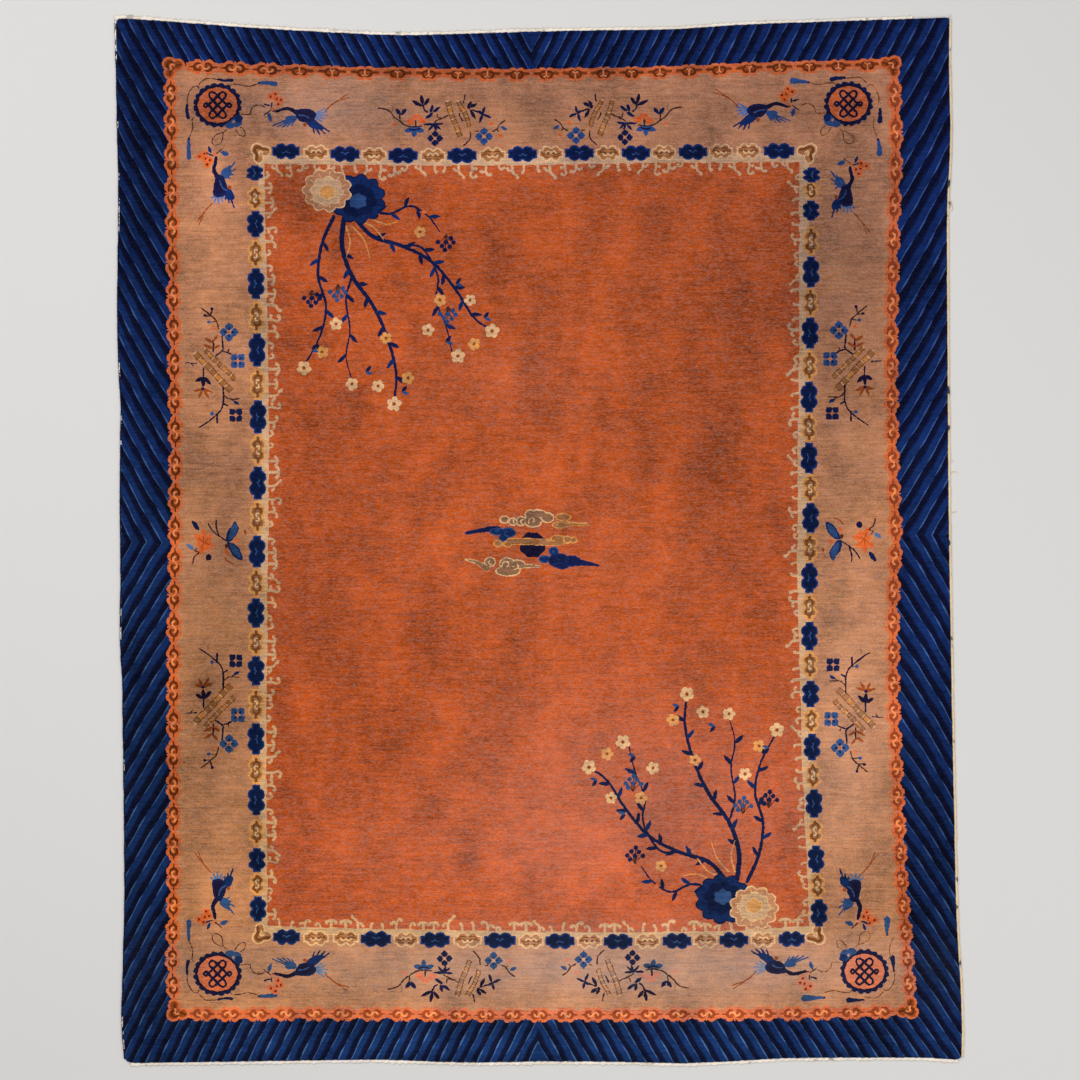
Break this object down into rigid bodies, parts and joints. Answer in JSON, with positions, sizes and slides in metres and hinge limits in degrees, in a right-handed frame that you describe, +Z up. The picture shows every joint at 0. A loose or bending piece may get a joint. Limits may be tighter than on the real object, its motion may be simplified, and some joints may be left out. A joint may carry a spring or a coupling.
{
  "type": "chinese art deco rug",
  "caption": "Room-size hand-knotted wool pile rug lying flat, with corded cotton sides and narrow worn cotton ends.",
  "frame": {"origin": "middle of the underside, on the floor", "axes": "+X across the width, +Y along the length, +Z up out of the pile"},
  "size_m": [2.7822, 3.444, 0.0116],
  "materials": {
    "wool_pile": "matte hand-knotted wool pile in terracotta, navy, blue, orange, camel and beige",
    "cotton": "undyed off-white cotton, worn"
  },
  "bodies": {
    "root": {"rug_body": "wool_pile", "edge_cord_left": "cotton", "edge_cord_right": "cotton", "end_web_top": "cotton", "end_web_bottom": "cotton"}
  },
  "joints": []
}
